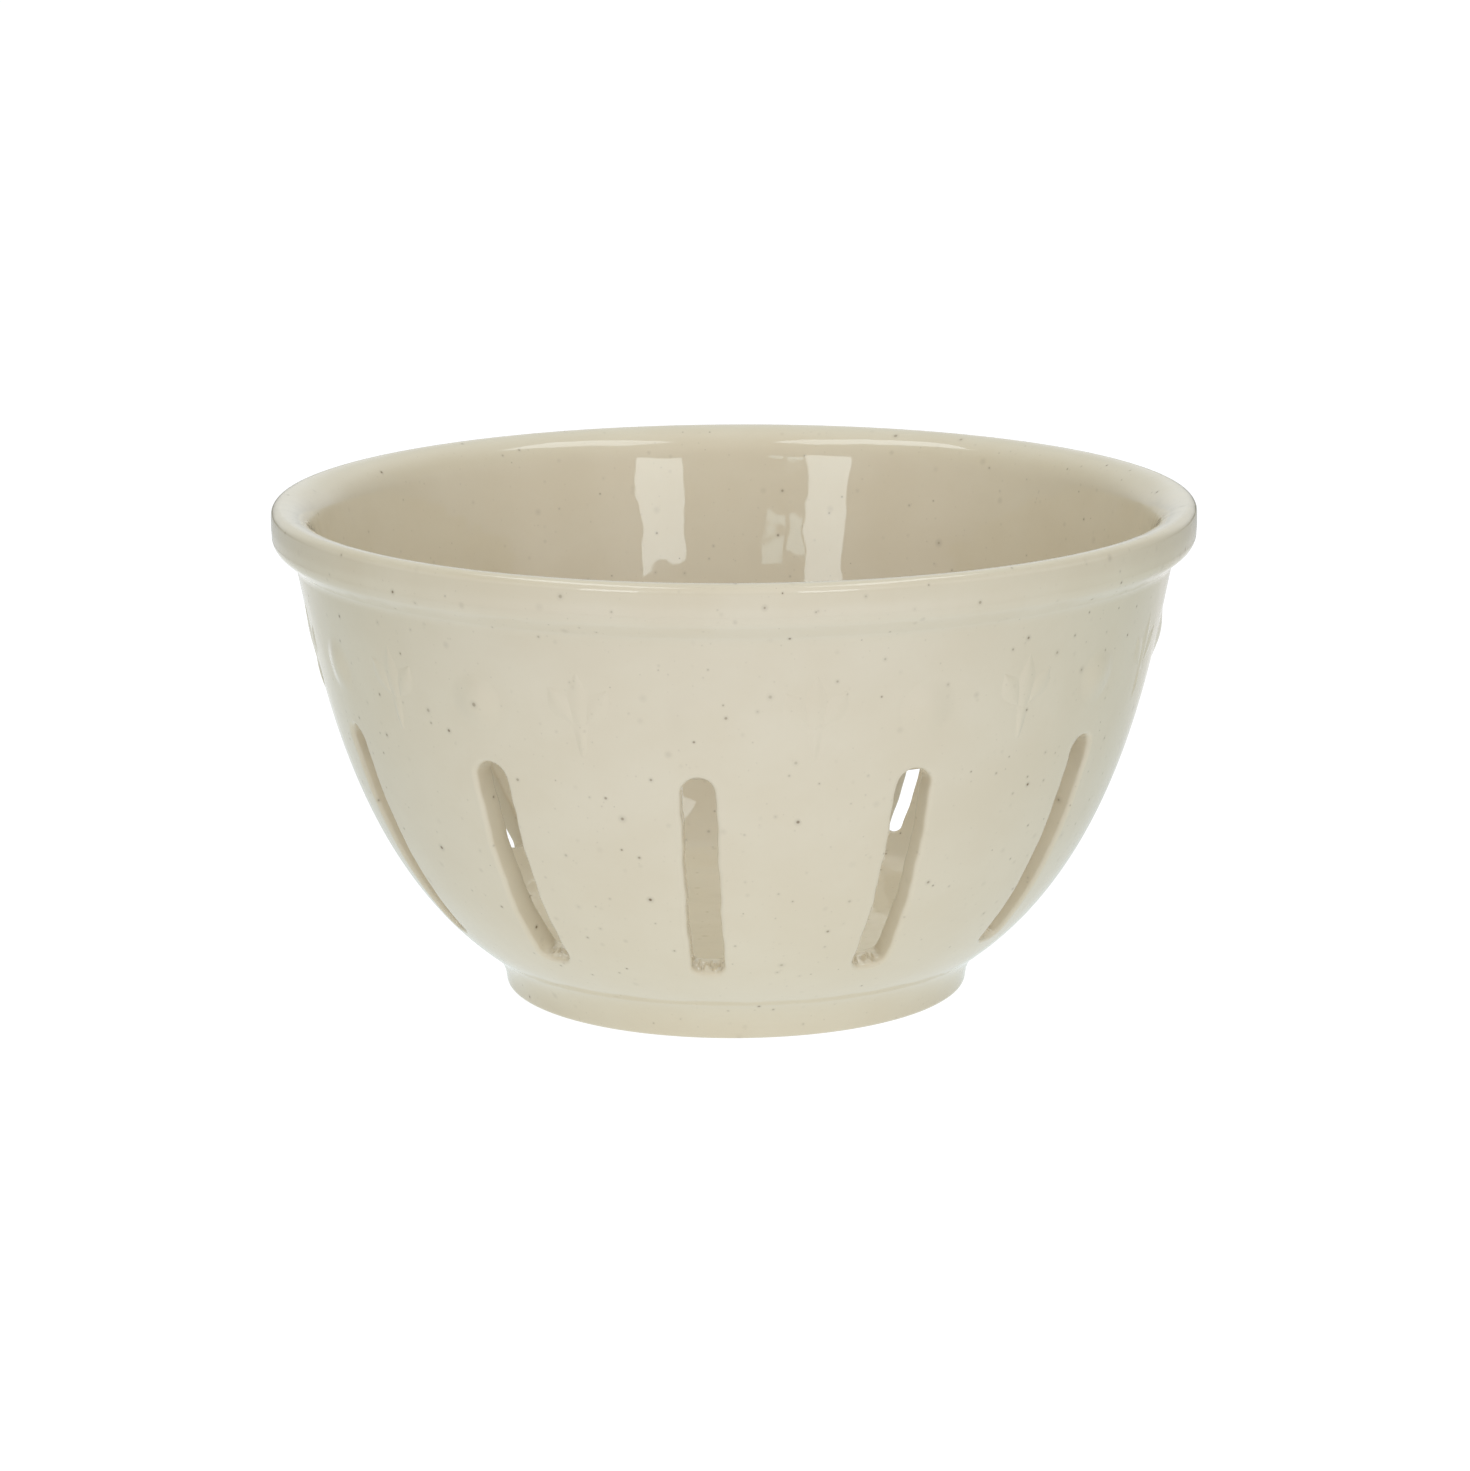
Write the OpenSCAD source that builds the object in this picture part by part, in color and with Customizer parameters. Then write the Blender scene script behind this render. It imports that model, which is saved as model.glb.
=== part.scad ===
// Berry colander bowl in glazed stoneware: a deep round bowl on a foot ring, pierced by upright
// slots, with a rolled rim and a band of sprigs and berries in low relief under the rim.
// Millimetres, +Z up. The origin is the centre of the face that the foot ring rests on, and a
// slot faces -Y.

/* [Bowl] */
// Width across the rolled rim at its widest
rim_d = 160; // [140:1:200]
// Height from the table to the top of the rim
bowl_h = 85.8; // [75:0.1:110]
// Thickness of the wall, square to its face
wall_t = 4.3; // [3.6:0.1:5]
// Thickness of the floor
floor_t = 4.3; // [3.6:0.1:5]

/* [Wall curve] */
// Slope of the wall where it leaves the foot ring, in degrees from level
low_angle = 34; // [30:1:40]
// Reach of the low slope along the curve
low_reach = 33; // [28:1:38]
// Slope of the wall where it meets the rim, in degrees from level
top_angle = 75; // [72:1:80]
// Reach of the top slope along the curve
top_reach = 11; // [8:1:14]

/* [Rim] */
// Height of the rolled rim
rim_h = 8.2; // [7:0.1:10]
// How far the rim stands out past the wall under it
rim_overhang = 3.7; // [2.5:0.1:5]
// Rise of the rim's underside from the wall to its outer edge
rim_lift = 1.4; // [0.8:0.1:2]
// How far the rim's inner side steps out on its way up from the wall
rim_in_step = 1.5; // [1:0.1:2]
// Radius of the rim's lower outer edge
rim_low_round = 1.6; // [1:0.1:2]
// Radius of the rim's upper outer edge
rim_top_round = 1.8; // [1:0.1:2]
// Radius of the rim's inner edge
rim_in_round = 5; // [2:0.1:5.2]

/* [Foot ring] */
// Width across the foot ring where it rests
foot_d = 80.8; // [70:0.2:95]
// Height of the foot ring
foot_h = 6; // [4.5:0.1:8]
// Width of the foot ring's resting face and the two edges beside it
foot_w = 5.6; // [4.5:0.1:8]
// How far the wall starts outside the resting edge
foot_step = 2; // [1.6:0.1:3]
// Radius of the hollow where the foot ring runs into the wall
cove = 1.4; // [1:0.1:1.6]
// Radius of the foot ring's lower edges
foot_edge = 0.8; // [0.4:0.1:1.2]

/* [Slots] */
// Number of slots round the wall
slot_count = 12; // [10:1:12]
// Width of a slot at its round top
slot_w = 6; // [4.5:0.1:7]
// Width of a slot at its foot
slot_foot_w = 5.4; // [4.2:0.1:6.5]
// How far the foot of the slots lies over the foot ring
slot_rise = 8.4; // [8.2:0.1:14]
// How far the top of the slots lies under the rim
slot_drop = 25; // [24.6:0.1:34]
// Radius of the two corners at a slot's foot
slot_corner = 1.9; // [1:0.1:2]

/* [Relief] */
// How far the sprigs stand out from the wall
relief_h = 0.5; // [0.3:0.1:1]
// How far the middle of the berries and sprigs lies under the rim
band_drop = 14.6; // [12:0.1:17]
// Length of a sprig's middle leaf
leaf_l = 8.8; // [7:0.1:10]
// Length of a sprig's two side leaves
side_leaf_l = 7.4; // [6:0.1:9]
// Width of a leaf
leaf_w = 2.8; // [2:0.1:3.6]
// Lean of the side leaves, in degrees from upright
leaf_angle = 33; // [20:1:45]
// Length of a sprig's stem
stem_l = 6.4; // [5:0.1:8]
// Width of a stem at its upper end
stem_w = 3.2; // [2.4:0.1:4]
// Width of a stem at its lower end
stem_tip_w = 0.9; // [0.6:0.1:1.5]
// Radius of the ball that shows as a berry's dome
berry_r = 7.2; // [6:0.1:9]
// How far a berry's dome stands out from the wall
berry_h = 0.7; // [0.4:0.1:1]

/* [Hidden] */
$fn = 240;

// Overrun of every cut past the surface that it opens
over = 2;
// Steps along the wall's curve, along the floor's curve, round an edge, along a leaf and up the pan
wall_steps = 24;
floor_steps = 8;
edge_steps = 8;
leaf_steps = 10;
pan_steps = 2;
// Share of the wall's curve that belongs to the floor's pan
pan_share = 0.07;
// Share of the floor's inside that stays level
level_share = 0.8;
// Power of the sine that shapes a leaf's side: above 1, its ends draw out to points
leaf_point = 1.2;
// Halvings that find a height on the wall's curve
halvings = 30;

// Angle from one slot to the next, and the side that the first one faces
pitch = 360 / slot_count;
front = -90;

rim_r = rim_d / 2;
foot_r = foot_d / 2;
foot_in_r = foot_r - foot_w;
floor_z = foot_h + floor_t;
half_turn = 180;

// Ends of the wall's outer curve, and the two points that steer it
wall_low = [foot_r + foot_step, foot_h];
wall_top = [rim_r - rim_overhang, bowl_h - rim_h];
wall_steer = [
    wall_low,
    wall_low + low_reach * heading(low_angle),
    wall_top - top_reach * heading(top_angle),
    wall_top
];

// Heights of the two ends of a slot and of the middle of the band
slot_low_z = foot_h + slot_rise;
slot_top_z = wall_top.y - slot_drop;
band_z = wall_top.y - band_drop;

// Inner ends of the joint between the pan and the wall, and of the joint under the rim
pan_in = inside(wall_steer, pan_share);
rim_in = inside(wall_steer, 1);

function two_digits(k) = str(k < 10 ? "0" : "", k);
function heading(slope) = [cos(slope), sin(slope)];

// Point of a cubic curve at share t, and the curve's direction there
function on_curve(c, t) =
    pow(1 - t, 3) * c[0] + 3 * pow(1 - t, 2) * t * c[1] + 3 * (1 - t) * t * t * c[2] + pow(t, 3) * c[3];
function along(c, t) =
    pow(1 - t, 2) * (c[1] - c[0]) + 2 * (1 - t) * t * (c[2] - c[1]) + t * t * (c[3] - c[2]);
function outward(c, t) = let (d = along(c, t)) [d.y, -d.x] / norm(d);
function inside(c, t) = on_curve(c, t) - wall_t * outward(c, t);

// Numbers from one end of a range to the other, in even steps
function spaced(from, to, steps) = [for (k = [0:steps]) from + (to - from) * k / steps];

// Points of an arc from one angle to another
function arc(centre, r, from, to) = [
    for (a = spaced(from, to, edge_steps)) centre + r * heading(a)
];

// Angle at b between a and c, and the points of that corner when it is rounded to radius r
function corner_angle(a, b, c) = acos((a - b) * (c - b) / norm(a - b) / norm(c - b));
function rounded(a, b, c, r) =
    let (
        u = (a - b) / norm(a - b),
        v = (c - b) / norm(c - b),
        half = corner_angle(a, b, c) / 2,
        centre = b + (u + v) / norm(u + v) * r / sin(half),
        start = b + u * r / tan(half) - centre,
        turn = sign(u.x * v.y - u.y * v.x) * (2 * half - half_turn)
    )
    [for (a = spaced(0, turn, edge_steps)) centre + turned(start, a)];
function turned(p, a) = [p.x * cos(a) - p.y * sin(a), p.x * sin(a) + p.y * cos(a)];

// Share of the wall's curve at which it reaches height z, found by halving
function share_at(z, low = 0, high = 1, left = halvings) =
    let (middle = (low + high) / 2)
    left == 0 ? middle
    : on_curve(wall_steer, middle).y < z ? share_at(z, middle, high, left - 1)
    : share_at(z, low, middle, left - 1);

// Turns a shape to face out at place k of a ring; half places lie between two slots
module facing(k) {
    rotate([0, 0, front + k * pitch]) children();
}

// Carries an outline drawn in X and Y out from the axis: its X runs round the bowl, its Y is height
module carried_out(reach) {
    rotate([90, 0, 90]) linear_extrude(height = reach) children();
}

module foot_ring() {
    color("oldlace") rotate_extrude() polygon(concat(
        arc([foot_r - foot_edge, foot_edge], foot_edge, -90, 0),
        arc([wall_low.x, foot_h - cove], cove, 180, 90),
        [[foot_in_r, foot_h]],
        arc([foot_in_r + foot_edge, foot_edge], foot_edge, 180, 270)
    ));
}

// The level floor and the first turn of the wall, thrown in one piece
module bowl_floor() {
    rise = along(wall_steer, pan_share);
    bend = [pan_in.x - (pan_in.y - floor_z) * rise.x / rise.y, floor_z];
    inner_steer = [[0, floor_z], [bend.x * level_share, floor_z], bend, pan_in];
    color("linen") rotate_extrude() polygon(concat(
        [[0, foot_h]],
        [for (t = spaced(0, pan_share, pan_steps)) on_curve(wall_steer, t)],
        [for (t = spaced(1, 0, floor_steps)) on_curve(inner_steer, t)]
    ));
}

// Outline of one slot: a round top, sides that draw in a little, and rounded lower corners
module slot_outline() {
    half_top = slot_w / 2;
    half_foot = slot_foot_w / 2;
    shoulder_z = slot_top_z - half_top;
    polygon(concat(
        arc([0, shoulder_z], half_top, 0, half_turn),
        rounded([-half_top, shoulder_z], [-half_foot, slot_low_z], [half_foot, slot_low_z], slot_corner),
        rounded([-half_foot, slot_low_z], [half_foot, slot_low_z], [half_top, shoulder_z], slot_corner)
    ));
}

module bowl_wall() {
    color("antiquewhite") difference() {
        rotate_extrude() polygon(concat(
            [for (t = spaced(pan_share, 1, wall_steps)) on_curve(wall_steer, t)],
            [for (t = spaced(1, pan_share, wall_steps)) inside(wall_steer, t)]
        ));
        for (k = [0:slot_count - 1]) facing(k) carried_out(rim_r + over) slot_outline();
    }
}

module rolled_rim() {
    low_edge = [rim_r, wall_top.y + rim_lift];
    top_edge = [rim_r, bowl_h];
    in_edge = [rim_in.x + rim_in_step, bowl_h];
    // The inner edge's rounding takes at most the top that the outer edge's leaves
    in_reach = tan(corner_angle(top_edge, in_edge, rim_in) / 2);
    in_round = min(rim_in_round, (rim_r - in_edge.x - rim_top_round) * in_reach);
    color("ivory") rotate_extrude() polygon(concat(
        [rim_in, wall_top],
        rounded(wall_top, low_edge, top_edge, rim_low_round),
        rounded(low_edge, top_edge, in_edge, rim_top_round),
        rounded(top_edge, in_edge, rim_in, in_round)
    ));
}

// The space outside the wall between two depths, from which the relief is taken
module skin(depth) {
    face = [for (t = spaced(pan_share, 1, wall_steps)) on_curve(wall_steer, t)];
    lifted = [
        for (t = spaced(1, pan_share, wall_steps)) on_curve(wall_steer, t) + depth * outward(wall_steer, t)
    ];
    rotate_extrude() polygon(concat(face, lifted));
}

// Half of a leaf's width at a share of its length
function leaf_side(share, width) = width / 2 * pow(sin(half_turn * share), leaf_point);

// A leaf that points up from its lower end, widest in its middle
module leaf(length, width) {
    polygon(concat(
        [for (k = [0:leaf_steps]) [leaf_side(k / leaf_steps, width), length * k / leaf_steps]],
        [for (k = [leaf_steps - 1:-1:1]) [-leaf_side(k / leaf_steps, width), length * k / leaf_steps]]
    ));
}

// One sprig: a tapered stem that carries a middle leaf and two leaning ones
module sprig_outline() {
    fork_z = band_z - stem_w / 2;
    polygon([
        [-stem_tip_w / 2, fork_z - stem_l],
        [stem_tip_w / 2, fork_z - stem_l],
        [stem_w / 2, fork_z],
        [-stem_w / 2, fork_z]
    ]);
    for (lean = [-leaf_angle, leaf_angle]) translate([0, fork_z - leaf_w / 2]) rotate([0, 0, lean])
        translate([0, leaf_w / 2]) leaf(side_leaf_l, leaf_w);
    translate([0, fork_z - leaf_w / 2]) leaf(leaf_l + leaf_w / 2, leaf_w);
}

module leaf_sprig(k) {
    color("wheat") intersection() {
        skin(relief_h);
        facing(k - 0.5) carried_out(rim_r) sprig_outline();
    }
}

// One berry: the dome of a ball that is sunk in the wall up to its own height
module berry_boss(k) {
    t = share_at(band_z);
    centre = on_curve(wall_steer, t) - (berry_r - berry_h) * outward(wall_steer, t);
    color("burlywood") intersection() {
        skin(berry_h + over);
        facing(k - 1) translate([centre.x, 0, centre.y]) sphere(r = berry_r);
    }
}

foot_ring();
bowl_floor();
bowl_wall();
rolled_rim();
for (k = [1:slot_count]) {
    leaf_sprig(k);
    berry_boss(k);
}
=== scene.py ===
"""A berry colander bowl in glazed stoneware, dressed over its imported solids.

The members of the thrown bowl are rebuilt as smooth closed skins: the foot ring, the pan, the
slotted wall and the rolled rim, with leaf sprigs and berries in low relief on the wall. One cream
glaze with brown iron specks covers them all, so its patterns run on from piece to piece. Sizes of
the bowl are in millimetres until a mesh is made. Meshes and the studio are in metres.
"""

import functools
import logging
import math
from collections.abc import Sequence
from dataclasses import dataclass
from enum import Enum

import bmesh
import bpy
import numpy as np
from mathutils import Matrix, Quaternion, Vector


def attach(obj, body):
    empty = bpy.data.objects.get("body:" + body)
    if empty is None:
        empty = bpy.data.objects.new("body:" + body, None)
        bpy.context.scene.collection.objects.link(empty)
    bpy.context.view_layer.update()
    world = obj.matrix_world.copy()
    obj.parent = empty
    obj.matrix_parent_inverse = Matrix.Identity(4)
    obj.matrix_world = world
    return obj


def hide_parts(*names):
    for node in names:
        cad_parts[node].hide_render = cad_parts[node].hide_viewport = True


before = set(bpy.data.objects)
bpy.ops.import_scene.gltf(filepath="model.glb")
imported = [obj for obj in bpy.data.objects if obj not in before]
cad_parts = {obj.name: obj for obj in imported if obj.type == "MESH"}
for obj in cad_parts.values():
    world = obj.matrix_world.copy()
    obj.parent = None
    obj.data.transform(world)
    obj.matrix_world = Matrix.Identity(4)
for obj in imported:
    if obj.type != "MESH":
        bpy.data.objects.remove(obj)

log = logging.getLogger("berry_bowl")

MM = 0.001
BOWL_H = 85.8
FOOT_H = 6.0
WALL_T = 4.3
SLOTS = 12
PITCH = math.tau / SLOTS
FRONT = -math.pi / 2
COLUMNS_PER_SLOT = 20
JOINT_STEPS = 20  # rows of a hollow on each side of a joint
LIP = 0.05  # width of the narrow rows beside a joint, which keep the shading true up to it
WELD = 0.002  # distance within which points of two sheets are one
CAMERA_AZIMUTH = 4.9  # degrees to the right of the front slot

Triple = tuple[float, float, float]
Color = tuple[float, float, float]
WHITE: Color = (1.0, 1.0, 1.0)
DARK: Color = (0.0, 0.0, 0.0)


# Shapes


def unit(vectors: np.ndarray) -> np.ndarray:
    """Returns vectors at length one, along the last axis."""
    return vectors / np.linalg.norm(vectors, axis=-1, keepdims=True)


def bezier(steer: np.ndarray, t: np.ndarray | float) -> np.ndarray:
    """Follows a cubic Bezier curve.

    Its four points are weighted by (1-t)^3, 3(1-t)^2 t, 3(1-t) t^2 and t^3.

    Args:
        steer: The four points (4, 2).
        t: Places along the curve, 0 to 1.

    Returns:
        Points (..., 2).
    """
    t = np.asarray(t, float)[..., None]
    a, b, c, d = steer
    return (1 - t) ** 3 * a + 3 * (1 - t) ** 2 * t * b + 3 * (1 - t) * t**2 * c + t**3 * d


def bezier_run(steer: np.ndarray, t: np.ndarray | float) -> np.ndarray:
    """Follows the direction of a cubic Bezier curve.

    The runs between its four points are weighted by (1-t)^2, 2(1-t) t and t^2.

    Args:
        steer: The four points (4, 2).
        t: Places along the curve, 0 to 1.

    Returns:
        Directions (..., 2) at length one.
    """
    t = np.asarray(t, float)[..., None]
    a, b, c, d = steer
    return unit((1 - t) ** 2 * (b - a) + 2 * (1 - t) * t * (c - b) + t**2 * (d - c))


def rounded_path(corners: Sequence[Triple], turn: float = 7.0, stride: float = 1.2) -> np.ndarray:
    """Follows straight runs between corners, and an arc round each corner between the first and last.

    An arc of radius q at a corner with half angle h starts q / tan(h) before the corner, and its
    centre lies q / sin(h) from the corner on the bisector. Long runs are cut into even parts.

    Args:
        corners: Radius from the axis, height, and radius of the arc, for each corner.
        turn: Most degrees that one step of an arc turns.
        stride: Longest step of a straight run.

    Returns:
        Points (n, 2) of radius from the axis and height.
    """
    spots = np.array([corner[:2] for corner in corners])
    runs = [spots[:1]]
    for before, corner, after, (_, _, radius) in zip(spots, spots[1:], spots[2:], corners[1:-1]):
        back, forth = unit(before - corner), unit(after - corner)
        half = math.acos(float(back @ forth)) / 2
        centre = corner + unit(back + forth) * radius / math.sin(half)
        arm = corner + back * radius / math.tan(half) - centre
        sweep = math.copysign(math.pi - 2 * half, forth[0] * back[1] - forth[1] * back[0])
        angles = np.linspace(0, sweep, max(2, math.ceil(abs(math.degrees(sweep)) / turn)) + 1)[:, None]
        runs.append(centre + arm * np.cos(angles) + np.array([-arm[1], arm[0]]) * np.sin(angles))
    path = np.vstack([*runs, spots[-1:]])
    lengths = np.linalg.norm(np.diff(path, axis=0), axis=1)
    parts = np.maximum(1, np.ceil(lengths / stride).astype(int))
    shares = [np.arange(count)[:, None] / count for count in parts]
    cut = [a + (b - a) * share for a, b, share in zip(path, path[1:], shares)]
    return np.vstack([*cut, path[-1:]])


def with_lip(path: np.ndarray) -> np.ndarray:
    """Adds a point next to the last end of a profile, one lip's width in."""
    return np.vstack([path[:-1], path[-1] + unit(path[-2] - path[-1]) * LIP, path[-1:]])


def to_joint(start: float, joint: float, steps: int) -> np.ndarray:
    """Returns even places from start to a joint, and one more an eighth of a step before the joint."""
    places = np.linspace(start, joint, steps + 1)
    return np.insert(places, -1, joint - (joint - start) / steps / 8)


def swung(flat: np.ndarray, angle: np.ndarray | float) -> np.ndarray:
    """Swings points or directions of a section about the bowl's axis.

    The one at radius r and height z goes to (r cos a, r sin a, z) for an angle a.

    Args:
        flat: Radii and heights (..., 2).
        angle: Angles in radians.

    Returns:
        Points or directions (..., 3).
    """
    radius, height = flat[..., 0], flat[..., 1]
    return np.stack([radius * np.cos(angle), radius * np.sin(angle), height + 0 * angle], axis=-1)


def revolved(profile: np.ndarray) -> np.ndarray:
    """Swings a profile (n, 2) once round, to points (n, columns, 3) whose last column meets its first."""
    turn = np.linspace(0, math.tau, SLOTS * COLUMNS_PER_SLOT + 1)
    return swung(profile[:, None], FRONT - PITCH / 2 + turn)


class Shell:
    """Sheets of points that close into one mesh where their borders meet."""

    def __init__(self) -> None:
        """Starts with no sheet."""
        self.points: list[np.ndarray] = []
        self.faces: list[np.ndarray] = []
        self.count = 0

    def sheet(self, grid: np.ndarray) -> None:
        """Adds a grid of points, row by row, with a quad between each four neighbours.

        Args:
            grid: Points (rows, columns, 3) in millimetres.
        """
        rows, columns = grid.shape[:2]
        index = self.count + np.arange(rows * columns).reshape(rows, columns)
        quads = np.stack([index[:-1, :-1], index[:-1, 1:], index[1:, 1:], index[1:, :-1]], axis=-1)
        self.points.append(grid.reshape(-1, 3))
        self.faces.append(quads.reshape(-1, 4))
        self.count += rows * columns

    def piece(self, name: str, crease: float = 40.0) -> bpy.types.Object:
        """Joins the sheets into a smooth closed piece whose faces point outwards.

        Args:
            name: The piece's name.
            crease: Angle in degrees past which an edge stays sharp.

        Returns:
            The new object, at the origin.
        """
        mesh = bpy.data.meshes.new(name)
        mesh.from_pydata((np.vstack(self.points) * MM).tolist(), [], np.vstack(self.faces).tolist())
        work = bmesh.new()
        work.from_mesh(mesh)
        bmesh.ops.remove_doubles(work, verts=work.verts, dist=WELD * MM)
        bmesh.ops.recalc_face_normals(work, faces=work.faces)
        work.to_mesh(mesh)
        work.free()
        mesh.polygons.foreach_set("use_smooth", np.ones(len(mesh.polygons), bool))
        mesh.set_sharp_from_angle(angle=math.radians(crease))
        made = bpy.data.objects.new(name, mesh)
        bpy.context.scene.collection.objects.link(made)
        return made


def toward(azimuth: float, elevation: float) -> Vector:
    """Returns the direction (sin a cos e, -cos a cos e, sin e) at azimuth a and elevation e, in degrees."""
    around, up = math.radians(azimuth), math.radians(elevation)
    return Vector((math.sin(around) * math.cos(up), -math.cos(around) * math.cos(up), math.sin(up)))


@dataclass(frozen=True)
class Arc:
    """An arc of a profile, between two bearings of its run in radians.

    Where its run has the bearing b, the arc goes through centre + radius (-sin b, cos b).
    """

    centre: np.ndarray
    radius: float
    first: float
    last: float

    def at(self, share: np.ndarray | float) -> np.ndarray:
        """Returns points (..., 2) at shares of the arc."""
        bearing = self.first + (self.last - self.first) * np.asarray(share)
        return self.centre + self.radius * np.stack([-np.sin(bearing), np.cos(bearing)], axis=-1)

    def share_at(self, height: float) -> float:
        """Returns the share of the arc at a height."""
        return (math.acos((height - self.centre[1]) / self.radius) - self.first) / (self.last - self.first)


class Face(Enum):
    """A face of the wall."""

    OUTER = "outer"
    INNER = "inner"


@dataclass(frozen=True)
class WallCurve:
    """The section of the bowl's wall, from the foot ring to the rim.

    The outer face is a cubic curve that starts in an arc above the foot ring and ends in the first
    half of the hollow under the rim. The inner face is a cubic curve of its own, which starts where
    the pan ends.
    """

    low: tuple[float, float] = (42.4, FOOT_H)
    low_angle: float = 34.0
    low_reach: float = 33.0
    top: tuple[float, float] = (76.3, 77.6)
    top_angle: float = 75.0
    top_reach: float = 11.0
    thickness: float = WALL_T
    pan_share: float = 0.07
    inner_low_reach: float = 23.87
    inner_top_angle: float = 79.38
    inner_top_reach: float = 22.93
    hollow_share: float = 0.934
    hollow_round: float = 3.0
    hollow_end_angle: float = 41.0
    foot_r: float = 40.4
    foot_angle: float = 82.0
    foot_share: float = 0.019
    samples: int = 4001

    @staticmethod
    def heading(angle: float) -> np.ndarray:
        """Returns the direction (2,) at an angle in degrees from level."""
        return np.array([math.cos(math.radians(angle)), math.sin(math.radians(angle))])

    def steering(self) -> np.ndarray:
        """Finds the points that steer the outer face: its ends, and a reach along its run at each.

        Returns:
            The four points (4, 2).
        """
        low, top = np.array(self.low), np.array(self.top)
        leaving, arriving = self.heading(self.low_angle), self.heading(self.top_angle)
        return np.array([low, low + self.low_reach * leaving, top - self.top_reach * arriving, top])

    def inner_steering(self) -> np.ndarray:
        """Finds the points that steer the inner face.

        Its ends lie one thickness square behind the outer face, and it starts in line with it.

        Returns:
            The four points (4, 2).
        """
        ends = np.array([self.pan_share, 1.0])
        low, top = bezier(self.steering(), ends) - self.thickness * self.outward(ends)
        leave = self.inner_low_reach * bezier_run(self.steering(), self.pan_share)
        arrive = self.inner_top_reach * self.heading(self.inner_top_angle)
        return np.array([low, low + leave, top - arrive, top])

    def hollow(self) -> Arc:
        """Finds the hollow between the wall and the underside of the rim.

        It leaves the wall in line with it, so its centre lies one radius square off the wall.

        Returns:
            The arc, from the wall to the rim.
        """
        start = bezier(self.steering(), self.hollow_share)
        run = bezier_run(self.steering(), self.hollow_share)
        centre = start + self.hollow_round * self.outward(self.hollow_share)
        last = math.radians(self.hollow_end_angle)
        return Arc(centre, self.hollow_round, math.atan2(run[1], run[0]), last)

    def foot_hollow(self) -> Arc:
        """Finds the hollow between the foot ring's side and the pan.

        It touches the pan at point p with outward direction n, and the line of the ring's side
        through point f with outward direction m, so its radius is (p - f) . m / (1 - n . m).

        Returns:
            The arc, from the ring to the pan.
        """
        end, out = bezier(self.steering(), self.foot_share), self.outward(self.foot_share)
        side = self.heading(self.foot_angle - 90)
        radius = float((end - np.array([self.foot_r, 0.0])) @ side / (1 - out @ side))
        run = bezier_run(self.steering(), self.foot_share)
        return Arc(end + radius * out, radius, math.radians(self.foot_angle), math.atan2(run[1], run[0]))

    def inner_place(self, share: np.ndarray | float) -> np.ndarray:
        """Returns the places on the inner curve, 0 at the pan and 1 at the rim, of shares."""
        return (np.asarray(share) - self.pan_share) / (1 - self.pan_share)

    def outward(self, share: np.ndarray | float, face: Face = Face.OUTER) -> np.ndarray:
        """Finds the directions square to a face's curve, away from the axis.

        Args:
            share: Share of the outer curve, as in skin.
            face: The face.

        Returns:
            Directions (..., 2).
        """
        if face is Face.INNER:
            run = bezier_run(self.inner_steering(), self.inner_place(share))
        else:
            run = bezier_run(self.steering(), share)
        return np.stack([run[..., 1], -run[..., 0]], axis=-1)

    def skin(
        self, share: np.ndarray | float, face: Face = Face.OUTER, lift: np.ndarray | float = 0.0
    ) -> np.ndarray:
        """Finds points of a face of the wall.

        Args:
            share: Share of the outer curve, 0 at the foot ring and 1 at the rim. The inner face
                runs from the pan's share to 1.
            face: The face.
            lift: How far the points stand out from the outer face.

        Returns:
            Points (..., 2) of radius and height.
        """
        if face is Face.INNER:
            return bezier(self.inner_steering(), self.inner_place(share))
        share = np.asarray(share, float)
        spot = bezier(self.steering(), share) + np.asarray(lift)[..., None] * self.outward(share)
        turned = self.hollow().at((share - self.hollow_share) / (1 - self.hollow_share) / 2)
        return np.where((share > self.hollow_share)[..., None], turned, spot)

    def share_at(self, height: np.ndarray | float, face: Face = Face.OUTER) -> np.ndarray:
        """Returns the shares of the curve at which a face reaches a height."""
        table = np.linspace(0 if face is Face.OUTER else self.pan_share, 1, self.samples)
        return np.interp(height, self.skin(table, face)[:, 1], table)

    def place(self, angle: np.ndarray, share: np.ndarray, face: Face) -> np.ndarray:
        """Returns the points (..., 3) of a face at angles round the axis, in radians."""
        return swung(self.skin(share, face), angle)

    def normal(self, angle: np.ndarray, share: np.ndarray, face: Face) -> np.ndarray:
        """Returns the directions (..., 3) square to a face, away from the axis."""
        return swung(self.outward(share, face), angle)

    def laid(self, middle: float, across: np.ndarray, height: np.ndarray, lift: np.ndarray) -> np.ndarray:
        """Lays points on the outer face, beside a line that runs up the wall.

        A distance across the line is square to the radius, so at radius r the angle from the
        line is asin(across / r).

        Args:
            middle: Angle of the line round the axis, in radians.
            across: Distance of each point from the line.
            height: Height of each point.
            lift: How far each point stands out from the face.

        Returns:
            Points (..., 3).
        """
        share = self.share_at(height)
        angle = middle + np.arcsin(across / self.skin(share)[..., 0])
        return swung(self.skin(share, lift=lift), angle)


# Shader nodes


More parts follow.
